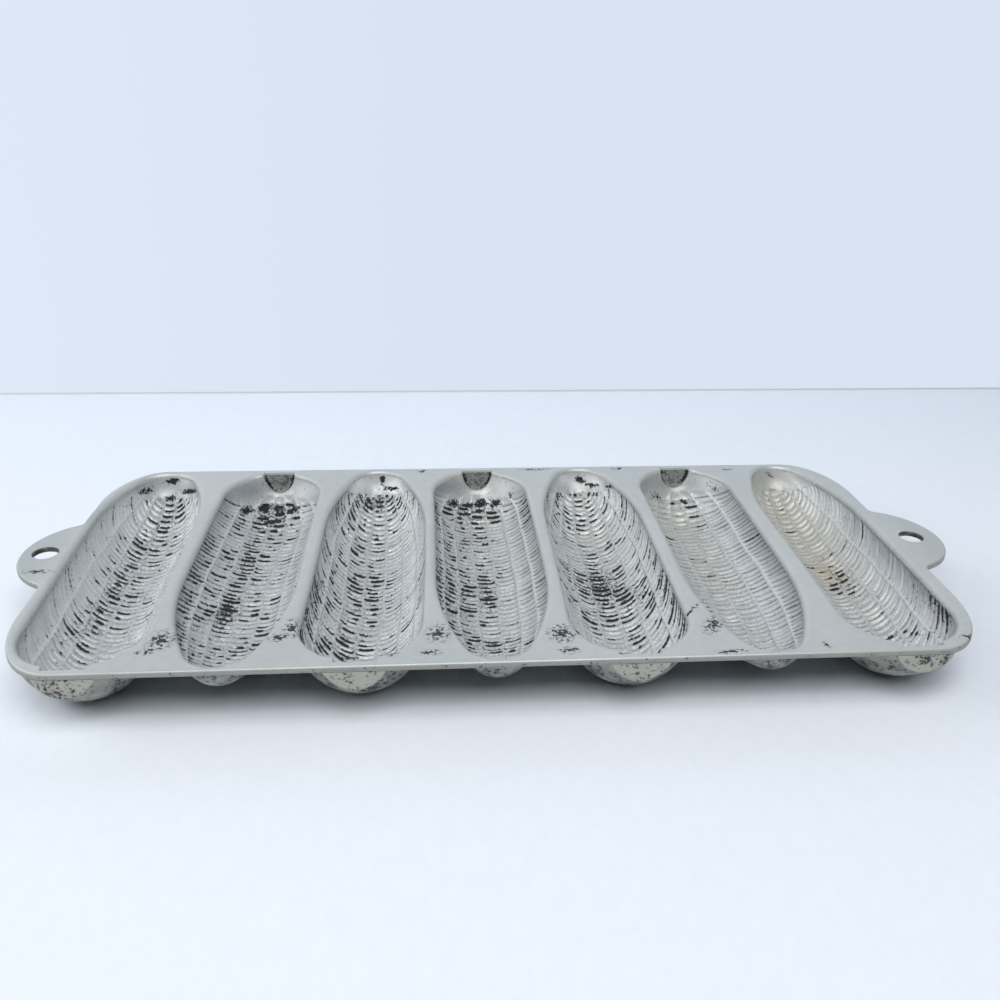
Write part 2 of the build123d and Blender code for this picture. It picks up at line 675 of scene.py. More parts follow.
@dataclass(frozen=True)
class HollowPlating:
    """Bright metal in the hollows, with black residue in the kernels, a dark grey stem, painted shade lines,
    painted glints and patches of painted sheen and shade.
    """

    bright: Colour = (0.51, 0.54, 0.545)
    pale: Colour = (0.74, 0.78, 0.79)
    dull: Colour = (0.40, 0.425, 0.43)
    plain: Colour = (0.52, 0.55, 0.55)
    # colour of the painted shade lines in the kernels and of fine dark flecks
    line: Colour = (0.09, 0.095, 0.105)
    soot: Colour = (0.010, 0.011, 0.014)
    tan: Colour = (0.50, 0.46, 0.36)
    stem: Colour = (0.28, 0.30, 0.28)
    # colour of the painted glints and painted highlight patches
    painted_highlight: Colour = (0.94, 0.96, 0.98)
    # colour of the painted shade patches
    painted_shade: Colour = (0.28, 0.285, 0.325)

    def material(self) -> bpy.types.Material:
        """Builds the hollows' material.

        Returns:
            The material.
        """
        finish = Finish("hollow_plating")
        stroke, shade_and_grime_line, grime = (finish.attribute(name) for name in ("stroke", "shade_and_grime_line", "grime"))
        blot, notch, tan, plain = (finish.attribute(name) for name in ("blot", "notch", "tint", "plain"))
        fine = finish.noise(1.5, 4.0, 0.7)
        mottle = finish.noise(0.3, 4.0, 0.6)
        glint = finish.noise(0.8, 3.0, 0.6)
        ragged = finish.noise(0.9, 4.0, 0.75)
        soot = (stroke + fine * 0.9 + ragged * 1.8 - 1.33).above(0.26, 0.38)
        blotted = (blot + ragged * 2.4 - 1.2).above(0.48, 0.60)
        specks = (ragged + grime * 0.20).above(0.69, 0.74)
        border = (notch + ragged * 2.6 - 1.3).above(1.68, 1.82)
        dark = soot.most(blotted).most(specks * 0.9).most(border)
        # painted shade and a little grime along each kernel's low line
        lines = (shade_and_grime_line * ((mottle + ragged - 0.25) * 1.3)).clipped() * 0.8
        colour = finish.blend(mottle.above(0.42, 0.75) * 0.45, self.bright, self.dull)
        # painted glints: fine bright flecks
        colour = finish.blend(fine.above(0.54, 0.64) * 0.7, colour, self.painted_highlight)
        colour = finish.blend((1.0 - fine.above(0.34, 0.45)) * 0.35, colour, self.line)
        height = finish.attribute("height")
        colour = finish.blend(height.clipped() * 0.55, colour, self.pale)
        colour = finish.blend((0.0 - height).clipped() * 0.6, colour, self.dull)
        colour = finish.blend(plain, colour, self.plain)
        # painted highlight patches where the value is above nought, painted shade patches where it is below
        sheen_and_shade = finish.attribute("sheen_and_shade")
        colour = finish.blend(sheen_and_shade.clipped(), colour, self.painted_highlight)
        colour = finish.blend((0.0 - sheen_and_shade).clipped() * 0.85, colour, self.painted_shade)
        colour = finish.blend(lines, colour, self.line)
        colour = finish.blend(tan, colour, self.tan)
        # the stem is darkened: grey on its end wall, near-black at its ragged border
        block = finish.blend(ragged.above(0.48, 0.6) * 0.75, self.stem, self.soot)
        colour = finish.blend(notch.above(0.2, 0.8), colour, block)
        colour = finish.blend(dark, colour, self.soot)
        return finish.close(
            Base_Color=colour,
            Metallic=(sheen_and_shade.clipped() * 0.35 + 0.25 - dark * 0.27 - notch * 0.15).clipped(),
            Roughness=(glint * 0.35 + 0.27 + dark * 0.3 + notch * 0.2).clipped(),
            Normal=finish.bump(fine * 0.3 + mottle * 0.6 - dark * 0.4, 0.15, 0.3),
        )


@dataclass(frozen=True)
class CastShell:
    """Plating on the outside of the cups, creamy at the stems and darker and pitted elsewhere."""

    plate: Colour = (0.44, 0.44, 0.385)
    grey: Colour = (0.26, 0.27, 0.26)
    pit: Colour = (0.03, 0.03, 0.035)

    def material(self) -> bpy.types.Material:
        """Builds the shells' material.

        Returns:
            The material.
        """
        finish = Finish("shell_plating")
        stem = finish.attribute("stem_end")
        mottle = finish.noise(0.16, 5.0, 0.65)
        fine = finish.noise(0.9, 4.0, 0.7)
        pits = (fine * 0.6 + mottle * 0.5 - stem * 0.02).above(0.57, 0.62)
        colour = finish.blend((mottle.above(0.36, 0.6) - stem * 0.7).clipped(), self.plate, self.grey)
        colour = finish.blend(pits, colour, self.pit)
        return finish.close(
            Base_Color=colour, Metallic=0.25 - pits * 0.2, Roughness=(fine * 0.2 + 0.4).clipped(),
            Normal=finish.bump(fine - pits * 0.6, 0.4, 0.6),
        )


def bake_piece(
    name: str, bm: bmesh.types.BMesh, materials: Sequence[bpy.types.Material], node: str
) -> bpy.types.Object:
    """Turns a mesh in millimetres into a piece that rides on the pan's body.

    Args:
        name: the piece's name.
        bm: its mesh in millimetres, freed afterwards.
        materials: its materials in slot order.
        node: the CAD node that it stands for.

    Returns:
        The new object.
    """
    bmesh.ops.scale(bm, vec=(MM, MM, MM), verts=bm.verts)
    mesh = bpy.data.meshes.new(name)
    bm.to_mesh(mesh)
    bm.free()
    for material in materials:
        mesh.materials.append(material)
    piece = bpy.data.objects.new(name, mesh)
    bpy.context.collection.objects.link(piece)
    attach(piece, "root")
    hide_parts(node)
    log.info("%s: %d faces", name, len(mesh.polygons))
    return piece


def cut_off(bm: bmesh.types.BMesh, place: Point3, facing: Point3, material: int) -> bmesh.types.BMesh:
    """Cuts a closed mesh in two by a plane and closes both halves with a flat face.

    Args:
        bm: the mesh, which keeps the half behind the plane.
        place: a point on the plane.
        facing: the plane's direction.
        material: material slot of the flat faces.

    Returns:
        A new mesh with the half in front of the plane.
    """
    front = bm.copy()
    for half, ahead in ((bm, True), (front, False)):
        bmesh.ops.bisect_plane(
            half, geom=[*half.verts, *half.edges, *half.faces], dist=1e-4, plane_co=place, plane_no=facing,
            clear_outer=ahead, clear_inner=not ahead,
        )
        close_flat(half, [edge for edge in half.edges if edge.is_boundary], material)
        bmesh.ops.recalc_face_normals(half, faces=half.faces)
    return front


def close_flat(
    bm: bmesh.types.BMesh, edges: Sequence[bmesh.types.BMEdge], material: int, beauty: bool = False
) -> None:
    """Fills closed loops of edges with a flat face whose rim stays crisp.

    Args:
        bm: the mesh.
        edges: the loops, all in one plane.
        material: material slot of the new faces.
        beauty: whether the triangles are made even.
    """
    for edge in edges:
        edge.smooth = False
    made = bmesh.ops.triangle_fill(bm, use_beauty=beauty, use_dissolve=False, edges=list(edges))["geom"]
    for item in made:
        if isinstance(item, bmesh.types.BMFace):
            item.material_index = material
            item.smooth = False


def ring_edges(bm: bmesh.types.BMesh, ring: Corners) -> list[bmesh.types.BMEdge]:
    """Edges of a closed ring of corners.

    Args:
        bm: the mesh.
        ring: its corners in order.

    Returns:
        The edges, each from one corner to the next.
    """
    return [bm.edges.get((a, b)) or bm.edges.new((a, b)) for a, b in zip(ring, ring[1:] + ring[:1])]


def sweep_ring(bm: bmesh.types.BMesh, levels: Sequence[Sequence[Point3]]) -> list[Corners]:
    """Extrudes a closed ring of corners through the same ring at further levels.

    Args:
        bm: the mesh that gets the band of faces.
        levels: the corners of each ring, in the same order.

    Returns:
        The corners of every ring.
    """
    rings = [[bm.verts.new(point) for point in levels[0]]]
    for level in levels[1:]:
        made = set(bmesh.ops.extrude_edge_only(bm, edges=ring_edges(bm, rings[-1]))["geom"])
        fresh = [next(e.other_vert(v) for e in v.link_edges if e.other_vert(v) in made) for v in rings[-1]]
        for vert, point in zip(fresh, level):
            vert.co = point
        rings.append(fresh)
    return rings


def offset_ring(points: Sequence[Point2], distance: float | np.ndarray) -> list[Point2]:
    """Moves a closed outline sideways, to the right of its direction of travel.

    Args:
        points: the outline's corners in order.
        distance: how far each corner moves.

    Returns:
        The moved corners.
    """
    path = np.asarray(points, float)
    ahead = np.roll(path, -1, axis=0) - path
    ahead /= np.linalg.norm(ahead, axis=1)[:, None]
    after = np.stack([ahead[:, 1], -ahead[:, 0]], axis=1)
    outward = after + np.roll(after, 1, axis=0)
    outward /= np.linalg.norm(outward, axis=1)[:, None]
    reach = np.clip(1.0 / np.maximum((outward * after).sum(axis=1), 0.1), 1.0, 1.6)
    return [tuple(p) for p in path + outward * (reach * distance)[:, None]]


def at_height(points: Sequence[Point2], height: float) -> list[Point3]:
    """Lays a plan outline out at one height."""
    return [(x, y, height) for x, y in points]


@dataclass
class DeckPlate:
    """The flat plate with the cups' openings and the two ears, its edges rounded as cast."""

    row: Row
    plating: bpy.types.Material
    hollow: bpy.types.Material
    lip: float = 1.9
    lip_drop: float = 1.6
    stem_lip: float = 0.35
    edge: float = 0.8
    under_edge: float = 0.25
    hole_edge: float = 0.7
    rounding: int = 6
    clear: float = 0.05
    dark_hole_wall: float = 2.0

    def _corner(self, x: float, y: float, first: float, count: int = 24) -> list[Point2]:
        """Quarter ellipse of one corner of the body.

        Args:
            x: its middle along X.
            y: its middle along Y.
            first: angle at which it starts, in degrees.
            count: number of sides.

        Returns:
            Its points, anticlockwise.
        """
        c = self.row.casting
        turns = np.radians(np.linspace(first, first + 90.0, count + 1))
        return [(x + c.corner_run_x * math.cos(t), y + c.corner_run_y * math.sin(t)) for t in turns]

    def _ear(self, side: float, way: int, reach: float) -> list[Point2]:
        """Outline of one ear, in the body outline's direction of travel.

        Args:
            side: the body's side along X.
            way: plus one on the right, minus one on the left.
            reach: how far the ear stands out.

        Returns:
            Its points.
        """
        c = self.row.casting
        radius = (reach ** 2 + (c.ear_chord / 2) ** 2) / (2 * reach)
        middle = reach - radius
        flare = c.ear_flare
        flare_y = math.sqrt((radius + flare) ** 2 - (flare - middle) ** 2)
        lean = math.atan2(flare_y, flare - middle)
        root_turns, arc_turns = np.linspace(0, lean, 8), np.linspace(-lean, lean, 49)[1:-1]
        root = [(flare - flare * math.cos(t), -flare_y + flare * math.sin(t)) for t in root_turns]
        arc = [(middle + radius * math.cos(t), radius * math.sin(t)) for t in arc_turns]
        whole = root + arc + [(x, -y) for x, y in reversed(root)]
        return [(side + way * x, c.ear_offset + way * y) for x, y in whole]

    def _outline(self, longest: float = 2.0) -> list[Point2]:
        """Plan of the body and ears, anticlockwise.

        Args:
            longest: the longest side left undivided.

        Returns:
            Its points.
        """
        c = self.row.casting
        far_x, far_y = c.body_length / 2 - c.corner_run_x, c.body_width / 2 - c.corner_run_y
        points = self._corner(c.body_x + far_x, -far_y, 270)
        points += self._ear(c.right, 1, c.ear_reach_right)
        points += self._corner(c.body_x + far_x, far_y, 0) + self._corner(c.body_x - far_x, far_y, 90)
        points += self._ear(c.left, -1, c.ear_reach_left)
        points += self._corner(c.body_x - far_x, -far_y, 180)
        spaced = []
        for a, b in zip(points, points[1:] + points[:1]):
            length = math.dist(a, b)
            if length > TINY:
                shares = np.linspace(0, 1, math.ceil(length / longest) + 1)[:-1]
                spaced += [(a[0] + (b[0] - a[0]) * s, a[1] + (b[1] - a[1]) * s) for s in shares]
        return spaced

    def _rounded(self, across: float, down: float) -> list[Point2]:
        """Steps round an edge, from the flat face to the wall.

        Args:
            across: width of the rounding.
            down: its height.

        Returns:
            Distances from the wall and below the face.
        """
        turns = np.linspace(0, RIGHT_ANGLE, self.rounding + 1)
        return [(across * (1 - math.sin(t)), down * (1 - math.cos(t))) for t in turns]

    def _rim(self, bm: bmesh.types.BMesh, rim: bmesh.types.BMLayerItem) -> tuple[Corners, Corners]:
        """Adds the outer wall.

        Args:
            bm: the deck's mesh.
            rim: the layer that marks the outer edge, nicked, creamy and darkened with painted shade.

        Returns:
            Its top and bottom ring.
        """
        c = self.row.casting
        outline = self._outline()
        steps = self._rounded(self.edge, self.edge)
        levels = [at_height(offset_ring(outline, -side), c.deck_top - down) for side, down in steps]
        levels += [
            at_height(offset_ring(outline, -side), c.underside + down * self.under_edge)
            for side, down in reversed(steps)
        ]
        rings = sweep_ring(bm, levels)
        for place, ring in enumerate(rings):
            for vert in ring:
                vert[rim] = float(ease(place, 1, len(steps) - 1))
        return rings[0], rings[-1]

    def _opening(
        self, bm: bmesh.types.BMesh, index: int, notch: bmesh.types.BMLayerItem
    ) -> tuple[Corners, Corners]:
        """Adds the wall of one cob's opening, with its soft lip.

        Args:
            bm: the deck's mesh.
            index: number of the cob.
            notch: the layer that marks where the stem is darkened.

        Returns:
            Its top and bottom ring.
        """
        c, shape, way = self.row.casting, self.row.cobs[index].shape, self.row.way(index)
        breadth = self.row.cobs[index].breadth
        steps = self._rounded(1.0, self.lip_drop) + [(0.0, c.plate)]
        levels, marks = [], []
        for share, down in steps:
            half = shape.mouth(down)
            whole = half + [(-x, y) for x, y in reversed(half[1:-1])]
            side, along = np.array(whole).T
            in_stem = 1.0 - ease(along, shape.stem_y - shape.stem_lip, shape.stem_y + 1.5)
            lip = self.lip + (self.stem_lip - self.lip) * in_stem
            placed = [(float(self.row.middle(index, way * y)) + way * x * breadth, way * y) for x, y in whole]
            levels.append(at_height(offset_ring(placed, lip * share), c.deck_top - down))
            marks.append(shape.notch(side, down, along) * (1.0 - share))
        rings = sweep_ring(bm, levels)
        for ring, values in zip(rings, marks):
            for vert, value in zip(ring, values):
                vert[notch] = float(value)
        for lower, upper in zip(rings[self.rounding:], rings[self.rounding - 1:]):
            for vert in lower:
                for face in vert.link_faces:
                    if all(corner in set(lower) | set(upper) for corner in face.verts):
                        face.material_index = 1
        return rings[0], rings[-1]

    def _hang_hole(
        self, bm: bmesh.types.BMesh, way: int, rim: bmesh.types.BMLayerItem
    ) -> tuple[Corners, Corners]:
        """Adds the wall of one ear's hole.

        Args:
            bm: the deck's mesh.
            way: plus one on the right, minus one on the left.
            rim: the layer that marks the hole's dark wall.

        Returns:
            Its top and bottom ring.
        """
        c = self.row.casting
        x = c.body_x + way * (c.body_length / 2 + c.hole_from_body)
        turns = np.linspace(0, 2 * math.pi, 49)[:-1]
        radius = c.hole_radius
        circle = [(x + radius * math.cos(t), c.ear_offset + radius * math.sin(t)) for t in turns]
        steps = self._rounded(self.hole_edge, self.hole_edge)
        levels = [at_height(offset_ring(circle, side), c.deck_top - down) for side, down in steps]
        levels += [
            at_height(offset_ring(circle, side), c.underside + down) for side, down in reversed(steps)
        ]
        rings = sweep_ring(bm, levels)
        for ring in rings[2:]:
            for vert in ring:
                vert[rim] = self.dark_hole_wall
        return rings[0], rings[-1]

    def build(self) -> list[bpy.types.Object]:
        """Builds the deck and the ears.

        Returns:
            The finished pieces.
        """
        c = self.row.casting
        bm = bmesh.new()
        rim, notch = (bm.verts.layers.float.new(name) for name in ("rim", "notch"))
        walls = [self._rim(bm, rim)]
        walls += [self._opening(bm, index, notch) for index in range(c.cup_count)]
        walls += [self._hang_hole(bm, way, rim) for way in (-1, 1)]
        for face in bm.faces:
            face.smooth = True
        for place in (0, 1):
            edges = [edge for wall in walls for edge in ring_edges(bm, wall[place])]
            close_flat(bm, edges, 0, beauty=True)
        bmesh.ops.recalc_face_normals(bm, faces=bm.faces)
        left = cut_off(bm, (c.left - self.clear, 0, 0), (-1, 0, 0), 0)
        right = cut_off(bm, (c.right + self.clear, 0, 0), (1, 0, 0), 0)
        finishes = [self.plating, self.hollow]
        return [
            bake_piece("deck_casting", bm, finishes, "deck_plate"),
            bake_piece("left_ear_casting", left, finishes, "left_ear"),
            bake_piece("right_ear_casting", right, finishes, "right_ear"),
        ]


@dataclass
class Unrolled:
    """Where each point of a smooth hollow lies along and round its cob."""

    side: np.ndarray
    drop: np.ndarray
    along: np.ndarray
    radius: np.ndarray
    theta: np.ndarray
    station: np.ndarray
    lean_r: np.ndarray
    lean_y: np.ndarray

    @classmethod
    def of(cls, co: np.ndarray, middle: float, way: int, top: float, profile: np.ndarray) -> "Unrolled":
        """Unrolls a hollow.

        Args:
            co: its points in millimetres.
            middle: the cob's middle along X.
            way: which way the cob is laid.
            top: height of the deck's top.
            profile: the smooth profile as radius and place along the cob.

        Returns:
            The unrolled places.
        """
        side, drop, along = co[:, 0] - middle, top - co[:, 2], co[:, 1] * way
        run = np.concatenate([[0.0], np.cumsum(np.linalg.norm(np.diff(profile, axis=0), axis=1))])
        tangent = np.gradient(profile, axis=0)
        tangent /= np.linalg.norm(tangent, axis=1)[:, None]
        return cls(
            side, drop, along, np.hypot(side, drop), np.degrees(np.arctan2(drop, -side)),
            np.interp(along, profile[:, 1], run),
            np.interp(along, profile[:, 1], tangent[:, 1]), np.interp(along, profile[:, 1], -tangent[:, 0]),
        )

    def press(self, co: np.ndarray, depth: np.ndarray, way: int) -> None:
        """Moves points outwards from the cob, square to its smooth wall.

        Args:
            co: the points, changed in place.
            depth: how far each one moves.
            way: which way the cob is laid.
        """
        spoke = np.maximum(self.radius, TINY)
        co[:, 0] += depth * self.lean_r * self.side / spoke
        co[:, 2] -= depth * self.lean_r * self.drop / spoke
        co[:, 1] += depth * self.lean_y * way


@dataclass(frozen=True)
class Kernels:
    """Rows of kernel dimples in a hollow's wall, with smooth narrow ridges between the rows."""

    rows: int = 8
    pitch: float = 2.85
    pitch_spread: float = 0.035
    flute: float = 0.2
    dome_flute: float = 0.25
    dimple: float = 0.62
    dimple_spread: float = 0.16
    first_y: float = -63.5
    later: float = 6.0
    later_turn: float = 53.0
    last_y: float = 65.2
    earlier: float = 4.5
    start_spread: float = 0.9
    end_spread: float = 0.3
    line_width: float = 0.11
    fade_from: float = 2.05
    fade_to: float = 3.1
    most: int = 64

    @property
    def row_turn(self) -> float:
        """Angle of one row in degrees."""
        return 180.0 / self.rows


@dataclass
class KernelField:
    """The kernels of one hollow, each a little different from the next."""

    kernels: Kernels
    flat: Unrolled
    first: float
    seed: int
    way: int

    def __post_init__(self) -> None:
        """Works out which kernel each point belongs to."""
        kern, flat = self.kernels, self.flat
        rng = np.random.default_rng(self.seed)
        self.wall = ease(np.abs(flat.theta - 90.0), 20.0, 62.0)
        self.low = 0.5 + self.way * (0.04 + 0.2 * self.wall)
        lanes, grid = kern.rows + 1, (kern.rows + 1, kern.most)
        bends = rng.uniform(0, 2 * math.pi, 2)
        sway = 0.9 * np.sin(flat.station * 0.09 + bends[0]) + 0.6 * np.sin(flat.station * 0.21 + bends[1])
        place = (flat.theta + sway) / kern.row_turn - 0.5
        self.row = np.clip(np.floor(place).astype(int), 0, kern.rows - 2)
        across = (place - self.row) * 2 - 1
        last = self.row == kern.rows - 2
        across = np.where(last, np.minimum(across, 0), across)
        self.across = np.where(self.row == 0, np.maximum(place * 2 - 1, 0), across)
        self.lane = self.row + 1
        off_middle = ((flat.theta - 90.0) / kern.later_turn) ** 2
        start_luck = rng.normal(0, kern.start_spread, lanes)[self.lane]
        self.start = self.first + kern.later * off_middle + start_luck
        pace = kern.pitch * (1 + rng.normal(0, kern.pitch_spread, lanes))
        waver = rng.uniform(0, 2 * math.pi, lanes)
        tick = (flat.station - self.start) / pace[self.lane]
        tick = tick + 0.12 * np.sin(flat.station * 0.35 + waver[self.lane])
        self.number = np.clip(np.floor(tick).astype(int), 0, kern.most - 1)
        self.beat = tick - np.floor(tick)
        self.size = np.clip(1 + rng.normal(0, kern.dimple_spread, grid), 0.55, 1.4)[self.lane, self.number]
        self.spot = rng.uniform(-0.9, 0.9, grid)[self.lane, self.number]
        self.spread = (rng.uniform(0.1, 0.9, grid) ** 1.4)[self.lane, self.number]
        self.slip = rng.uniform(-0.12, 0.12, grid)[self.lane, self.number]
        ticks = np.arange(kern.most)[None, :]
        lumps = rng.uniform(0, 2 * math.pi, (2, lanes, 1))
        clusters = 0.5 + 0.5 * np.sin(ticks * 0.55 + lumps[0]) * np.sin(ticks * 0.23 + lumps[1])
        self.luck = (0.6 * rng.uniform(0, 1, grid) + 0.4 * clusters)[self.lane, self.number]
        end = kern.last_y - kern.earlier * off_middle + rng.normal(0, kern.end_spread, lanes)[self.lane]
        self.begun = ease(flat.station, self.start - 0.3, self.start + 0.6)
        self.begun *= 1.0 - ease(flat.along, end - 0.4, end + 0.4)
        row_width = flat.radius * math.radians(kern.row_turn)
        self.fade = ease(flat.drop, kern.fade_from, kern.fade_to) * ease(row_width, 0.8, 3.2)

    def depth(self) -> np.ndarray:
        """How far each point is pressed in.

        Returns:
            Depths in millimetres.
        """
        kern = self.kernels
        bowed = 1 - self.across ** 2
        near_dome = 1 - ease(self.flat.station, self.start, self.start + 12.0)
        flute = (kern.flute + kern.dome_flute * near_dome) * bowed
        flute *= ease(self.flat.station, self.start - 4.0, self.start - 0.5)
        flute *= 1.0 - ease(self.flat.along, kern.last_y - 2.0, kern.last_y + 1.5)
        bowl = (0.5 - 0.5 * np.cos(2 * np.pi * self.beat)) ** 0.65
        inside = ease(1 - np.abs(self.across), 0.05, 0.17) * (0.65 + 0.35 * bowed)
        return (flute + kern.dimple * self.size * bowl * inside * self.begun) * self.fade

    def shade_and_grime_line(self) -> np.ndarray:
        """How near each point lies to the low line of a kernel, where painted shade and a little grime are
        laid.
        """
        off_line = (self.beat - self.low - 0.5 * self.slip) / self.kernels.line_width
        line = np.exp(-(off_line ** 2)) * (0.9 + 0.1 * self.wall)
        inside = ease(1 - np.abs(self.across), 0.06, 0.2)
        return line * inside * (0.3 + self.luck) * self.begun * self.fade

    def stroke(self, soot: np.ndarray, fullness: float) -> np.ndarray:
        """Residue that lies in the kernels.

        Args:
            soot: how sooty the hollow is at each point.
            fullness: share of the kernels that hold residue elsewhere.

        Returns:
            Strength of the residue at each point.
        """
        wet, dry = np.clip(soot, 0, 1), np.clip(-soot, 0, 1)
        first_pits = ease(soot, 0.15, 0.4) * (self.number < 2)
        held = np.clip((self.luck - (1 - fullness) + wet - dry + 0.5 * first_pits) * 3.0, 0, 1)
        width = (0.12 + 0.05 * self.size + 0.07 * wet + 0.05 * first_pits) * (1.0 - 0.35 * self.wall)
        low = np.exp(-(((self.beat - self.low - self.slip) / width) ** 2))
        reach = self.spread + 0.45 * wet
        cover = ease(reach - np.abs(self.across - self.spot * (1 - wet)) + 0.1, 0.0, 0.25)
        inside = ease(1 - np.abs(self.across), 0.02, 0.14)
        under_lip = ease(self.flat.drop, 2.2, 3.5)
        return low * cover * inside * held * self.begun * (1.0 - 0.25 * self.wall) * under_lip


@dataclass
class CobCup:
    """One cob-shaped cup with its kernels, its outside and the socket at its stem."""

    row: Row
    index: int
    kernels: Kernels
    hollow: bpy.types.Material
    shell: bpy.types.Material
    viewpoint: Point3 = (-25.56, -294.56, 176.55)
    columns: int = 132
    step: float = 0.28
    shell_columns: int = 56
    shell_step: float = 1.5
    slimmer: float = 0.09
    stem_widening: float = 0.14
    seed: int = 11

    @property
    def cob(self) -> Cob:
        """The cob that this cup moulds."""
        return self.row.cobs[self.index]

    @property
    def way(self) -> int:
        """Plus one where the stem is at the front rim, minus one where it is at the back."""
        return self.row.way(self.index)

    def _spun(self, profile: Sequence[Point2], columns: int) -> bmesh.types.BMesh:
        """Spins a profile half a turn under the deck's top face.

        Args:
            profile: points as radius and place along the cob.
            columns: number of steps of the half turn.

        Returns:
            The open half shell.
        """
        bm = bmesh.new()
        middle, top = self.row.nominal(self.index), self.row.casting.deck_top
        verts = [bm.verts.new((middle - r, self.way * y, top)) for r, y in profile]
        edges = [bm.edges.new(pair) for pair in zip(verts, verts[1:])]
        bmesh.ops.spin(
            bm, geom=verts + edges, cent=(middle, 0, top), axis=(0, 1, 0), angle=-math.pi,
            steps=columns, use_merge=False, use_normal_flip=False, use_duplicate=False,
        )
        bmesh.ops.remove_doubles(bm, verts=bm.verts, dist=WELD)
        return bm

    def _inside(self) -> bpy.types.Mesh:
        """Makes the hollow, with its kernels pressed in and its residue, painted shade and painted sheen
        noted on the mesh.

        Returns:
            The hollow's mesh in millimetres.
        """
        shape, top = self.cob.shape, self.row.casting.deck_top
        profile = shape.stem_side(0.0, shape.stem_radius, -shape.half_length) + shape.cob_side(0.0, self.step)
        bm = self._spun(profile, self.columns)
        mesh = bpy.data.meshes.new("hollow_scratch")
        bm.to_mesh(mesh)
        bm.free()
        flat_co = np.empty(len(mesh.vertices) * 3)
        mesh.vertices.foreach_get("co", flat_co)
        co = flat_co.reshape(-1, 3)

        smooth = np.array(shape.cob_side(0.0, 0.25))
        flat = Unrolled.of(co, self.row.nominal(self.index), self.way, top, smooth)
        run = np.cumsum(np.linalg.norm(np.diff(smooth, axis=0, prepend=smooth[:1]), axis=1))
        first = np.interp(self.kernels.first_y, smooth[:, 1], run)
        field_of = KernelField(self.kernels, flat, float(first), self.seed + self.index, self.way)
        sharp = 1.0 - np.clip(self._patches(co, self.cob.worn), 0, 0.9)
        flat.press(co, field_of.depth() * sharp, self.way)
        co[:, 2] = top - (top - co[:, 2]) * shape.sunk(flat.along)
        nominal = self.row.nominal(self.index)
        co[:, 0] = nominal + (co[:, 0] - nominal) * self.cob.breadth + self.cob.drift.at(co[:, 1])
        mesh.vertices.foreach_set("co", co.ravel())

        soot = self._patches(co, self.cob.soot)
        last_y = self.kernels.last_y
        rowed = ease(flat.station, field_of.start - 9.0, field_of.start + 6.0)
        rowed *= 1.0 - ease(flat.along, last_y - 9.0, last_y + 4.0)
        values = {
            "stroke": field_of.stroke(soot, self.cob.fullness),
            # painted shade and a little grime along each kernel's low line
            "shade_and_grime_line": field_of.shade_and_grime_line() * sharp,
            "grime": np.clip(soot, -1, 1) + 0.25 * field_of.begun,
            "tint": np.clip(self._patches(co, self.cob.tan), 0, 1),
            "blot": np.clip(self._patches(co, self.cob.blots), 0, 1),
            # painted highlight where above nought, painted shade where below
            "sheen_and_shade": np.clip(self._patches(co, self.cob.sheen_and_shade), -1, 1),
            "height": rowed * field_of.wall - (1.0 - rowed),
            "plain": 1.0 - ease(flat.drop, 2.0, 6.0),
            "notch": shape.notch(flat.side, flat.drop, flat.along),
        }
        for name, each in values.items():
            mesh.attributes.new(name, "FLOAT", "POINT").data.foreach_set("value", each.astype(np.float32))
        return mesh

    def _patches(self, co: np.ndarray, stains: Sequence[Stain]) -> np.ndarray:
        """Adds up soft patches at every point of a mesh. A patch is placed on the deck's plane and
        lies where the line from the viewpoint through that place meets the hollow.

        Args:
            co: the mesh's points in millimetres.
            stains: the patches.

        Returns:
            Their strength at each point.
        """
        eye = self.viewpoint
        share = (eye[2] - self.row.casting.deck_top) / (eye[2] - co[:, 2])
        x = eye[0] + (co[:, 0] - eye[0]) * share - self.row.casting.body_x
        y = eye[1] + (co[:, 1] - eye[1]) * share
        total = np.zeros(len(co))
        for stain in stains:
            off = ((x - stain.x) / stain.run_x) ** 2 + ((y - stain.y) / stain.run_y) ** 2
            total += stain.strength * np.exp(-off)
        return total

    def _outside(self) -> bpy.types.Mesh:
        """Makes the cup's outside, kept between its neighbours and within the body's plan.

        Returns:
            The outside's mesh in millimetres.
        """
        shape, c = self.cob.shape, self.row.casting
        stem = shape.stem_radius + shape.stem_wall
        profile = shape.stem_side(shape.wall, stem, -c.body_width / 2)
        profile += shape.cob_side(shape.wall, self.shell_step)
        bm = self._spun(profile, self.shell_columns)
        mark = bm.verts.layers.float.new("stem_end")
        middle = self.row.nominal(self.index)
        for vert in bm.verts:
            along = vert.co.y * self.way
            at_stem = 1.0 - ease(along, shape.stem_y - 2.6, shape.stem_y - 0.6)
            vert[mark] = float(at_stem)
            slim = 1.0 - self.slimmer * ease(along, 48.0, 66.0)
            vert.co.z = c.deck_top - (c.deck_top - vert.co.z) * slim
            high = ease(vert.co.z, c.deck_top - stem, c.underside)
            widened = slim * self.cob.breadth * (1.0 + self.stem_widening * at_stem * high)
            x = middle + (vert.co.x - middle) * widened + self.cob.drift.at(vert.co.y)
            left, right = (self.row.divide(self.index + side, vert.co.y) for side in (0, 1))
            vert.co.x, vert.co.y = c.within(min(max(x, left), right), vert.co.y)
        mesh = bpy.data.meshes.new("shell_scratch")
        bm.to_mesh(mesh)
        bm.free()
        return mesh

